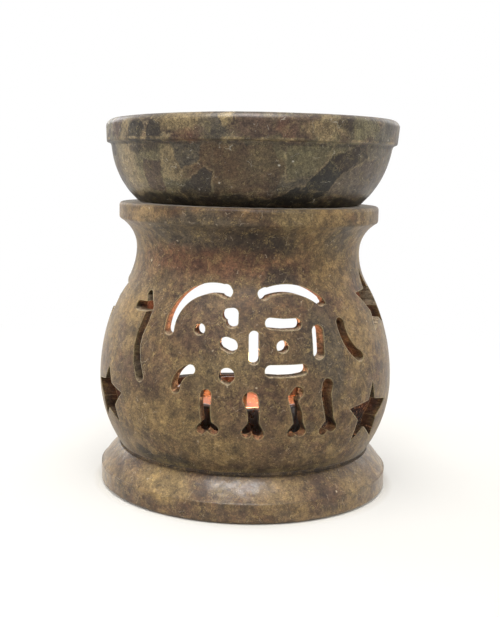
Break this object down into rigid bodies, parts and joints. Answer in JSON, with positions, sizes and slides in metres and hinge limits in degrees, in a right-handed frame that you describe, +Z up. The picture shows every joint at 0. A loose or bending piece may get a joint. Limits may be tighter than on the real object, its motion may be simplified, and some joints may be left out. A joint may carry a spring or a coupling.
{
  "type": "essential oil burner",
  "caption": "Turned soapstone oil burner: pierced hollow body with an elephant and stars, loose oil dish on top, tealight inside.",
  "frame": {"origin": "centre of the flat underside of the base flange", "axes": "+Z up along the turning axis; the elephant faces -Y and the back door opens towards +Y"},
  "size_m": [0.0772, 0.0767, 0.0958],
  "materials": {
    "body_soapstone": "satin, mottled olive brown and grey purple",
    "dish_soapstone": "satin, mottled green grey and charcoal",
    "foil": "bright rolled foil",
    "wax": "translucent wax",
    "tinned_steel": "tinned",
    "cotton": "charred waxed cotton"
  },
  "bodies": {
    "burner_body": {"burner_body": "body_soapstone"},
    "oil_dish": {"oil_dish": "dish_soapstone"},
    "tealight": {"tealight_cup": "foil", "tealight_wax": "wax", "wick_sustainer": "tinned_steel", "wick": "cotton"}
  },
  "joints": [
    {"name": "dish_lift", "type": "slide", "parent": "burner_body", "child": "oil_dish", "axis": [0, 0, 1], "range_m": [0, 0.06]},
    {"name": "tealight_lift", "type": "slide", "parent": "burner_body", "child": "tealight", "axis": [0, 0, 1], "range_m": [0, 0.0145]}
  ]
}
